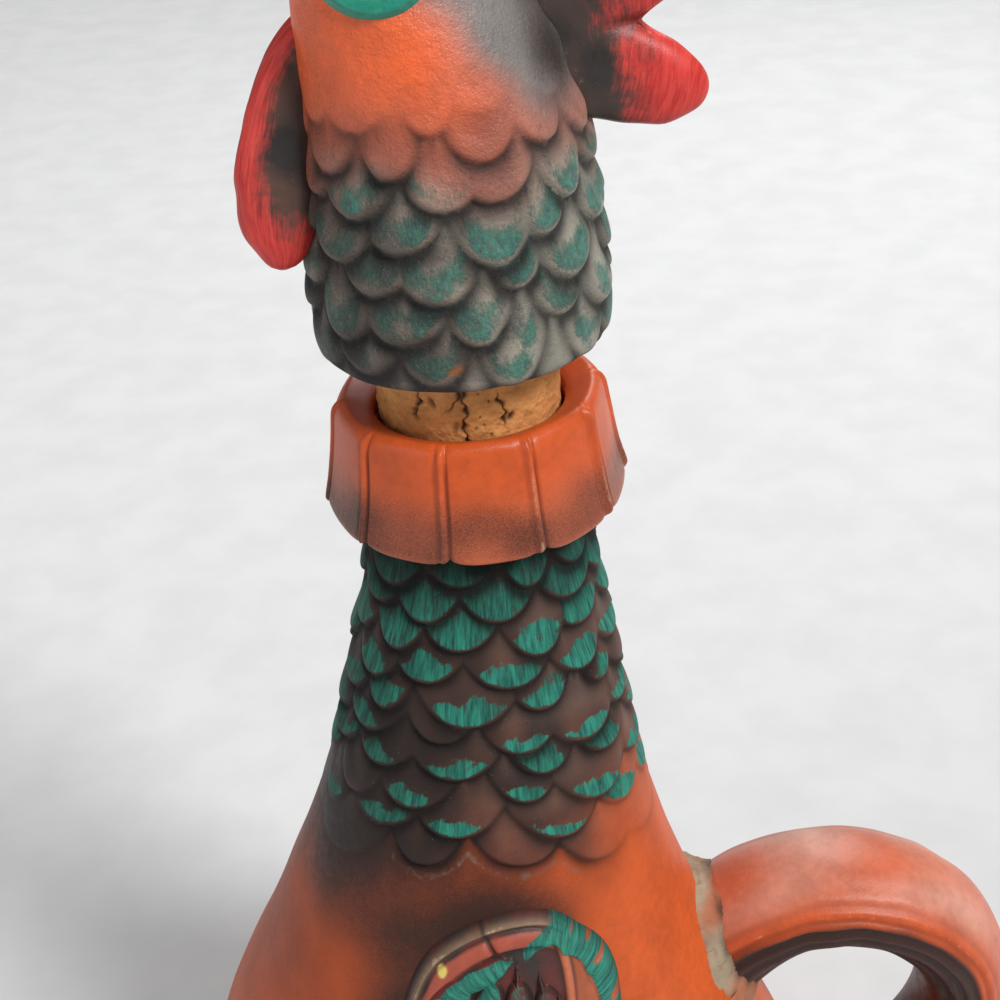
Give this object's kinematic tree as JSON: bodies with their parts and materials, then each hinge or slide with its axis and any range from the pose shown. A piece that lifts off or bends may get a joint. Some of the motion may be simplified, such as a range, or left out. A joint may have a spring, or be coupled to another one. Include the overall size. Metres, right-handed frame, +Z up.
{
  "type": "rooster decanter",
  "caption": "Hollow pear-shaped pottery bottle in the form of a rooster, with feathered neck, pleated ruff, wings and tail handle; the bird's head lifts out as its cork stopper.",
  "frame": {"origin": "point of the flat base under the middle of the mouth", "axes": "+Z up along the neck's axis, beak towards -X, tail handle towards +X"},
  "size_m": [0.1666, 0.1332, 0.3118],
  "materials": {
    "redware": "satin",
    "feather_paint": "matte",
    "head_paint": "satin",
    "comb_red": "satin",
    "beak_yellow": "satin",
    "eye_teal": "satin",
    "cork": "matte",
    "slip": "matte"
  },
  "bodies": {
    "bottle": {"bottle": "redware", "neck_ruff": "redware", "tail_handle": "redware", "handle_slip_upper": "slip", "handle_slip_lower": "slip", "wing_left": "feather_paint", "wing_right": "feather_paint"},
    "cork": {"cork": "cork"},
    "head": {"head": "head_paint", "comb": "comb_red", "beak_upper": "beak_yellow", "beak_lower": "beak_yellow", "wattle_left": "comb_red", "wattle_right": "comb_red", "eye_left": "eye_teal", "eye_right": "eye_teal"}
  },
  "joints": [
    {"name": "stopper_lift", "type": "slide", "parent": "bottle", "child": "cork", "axis": [0, 0, 1], "range_m": [-0.0095, 0.05]},
    {"name": "stopper_turn", "type": "hinge", "parent": "cork", "child": "head", "pos_m": [0, 0, 0.2236], "axis": [0, 0, 1], "continuous": true}
  ]
}
